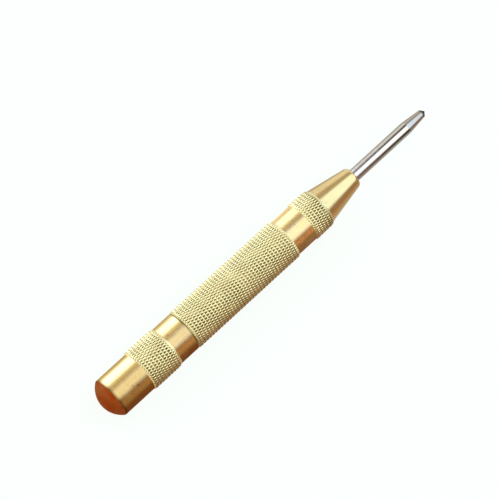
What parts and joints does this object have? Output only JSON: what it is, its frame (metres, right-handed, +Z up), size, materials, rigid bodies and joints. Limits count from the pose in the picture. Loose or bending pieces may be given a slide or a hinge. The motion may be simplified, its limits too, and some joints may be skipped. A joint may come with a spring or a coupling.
{
  "type": "automatic center punch",
  "caption": "Spring-loaded centre punch: knurled brass body with a screwed adjusting cap, a conical nose and a slim steel point that slides in against a spring hammer.",
  "frame": {"origin": "on the surface that the tool lies on, under the middle of its length", "axes": "+X along the tool's axis towards the point, +Z up"},
  "size_m": [0.13, 0.0136, 0.0136],
  "materials": {
    "brass": "turned and polished, knurled grips",
    "punch_steel": "ground and polished",
    "hardened_steel": "hardened, satin grey, oiled",
    "spring_steel": "drawn wire, dark satin"
  },
  "bodies": {
    "barrel": {"barrel": "brass", "nose": "brass", "return_spring": "spring_steel"},
    "punch": {"punch_point": "punch_steel"},
    "drive_pin": {"drive_pin": "hardened_steel"},
    "hammer": {"hammer": "hardened_steel"},
    "main_spring": {"main_spring": "spring_steel"},
    "cap": {"cap": "brass"}
  },
  "joints": [
    {"name": "punch_slide", "type": "slide", "parent": "barrel", "child": "punch", "axis": [-1, 0, 0], "range_m": [0, 0.009], "stiffness_N_per_m": 4800, "deforming": ["return_spring"]},
    {"name": "pin_swing", "type": "hinge", "parent": "punch", "child": "drive_pin", "pos_m": [0.023, 0, 0.0068], "axis": [0, 0, 1], "range_deg": [0, 1.73]},
    {"name": "hammer_slide", "type": "slide", "parent": "barrel", "child": "hammer", "axis": [-1, 0, 0], "range_m": [0, 0.009], "deforming": ["main_spring"]},
    {"name": "cap_advance", "type": "slide", "parent": "barrel", "child": "main_spring", "axis": [-1, 0, 0], "range_m": [0, 0.004], "deforming": ["main_spring"]},
    {"name": "cap_turn", "type": "hinge", "parent": "main_spring", "child": "cap", "pos_m": [-0.05, 0, 0.0068], "axis": [-1, 0, 0], "range_deg": [0, 1440]}
  ],
  "couplings": [
    {"joint": "hammer_slide", "follows": "punch_slide", "ratio": 1},
    {"joint": "pin_swing", "follows": "punch_slide", "rad_per_m": 3.3605},
    {"joint": "cap_turn", "follows": "cap_advance", "rad_per_m": 6283.1}
  ]
}
